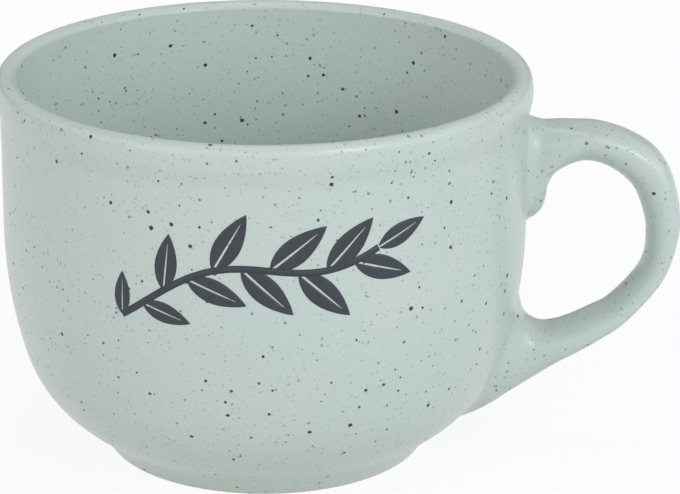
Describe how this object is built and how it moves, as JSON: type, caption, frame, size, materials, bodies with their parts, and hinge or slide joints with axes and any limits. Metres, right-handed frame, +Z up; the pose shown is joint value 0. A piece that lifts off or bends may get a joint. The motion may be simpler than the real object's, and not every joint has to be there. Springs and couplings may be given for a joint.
{
  "type": "soup mug",
  "caption": "Wide stoneware soup mug with a rounded lip, a turned foot ring and a strap handle with a thumb pad.",
  "frame": {"origin": "on the cup's axis, in the plane that the foot ring stands on", "axes": "+Z up along the cup's axis, +X towards the handle, -Y towards the front with the motif"},
  "size_m": [0.1619, 0.1262, 0.0925],
  "materials": {
    "stoneware_glaze": "satin pale sage glaze with fine dark specks",
    "joint_slip": "fired slip under the same glaze"
  },
  "bodies": {
    "root": {"cup_body": "stoneware_glaze", "handle": "stoneware_glaze", "upper_joint_slip": "joint_slip", "lower_joint_slip": "joint_slip"}
  },
  "joints": []
}
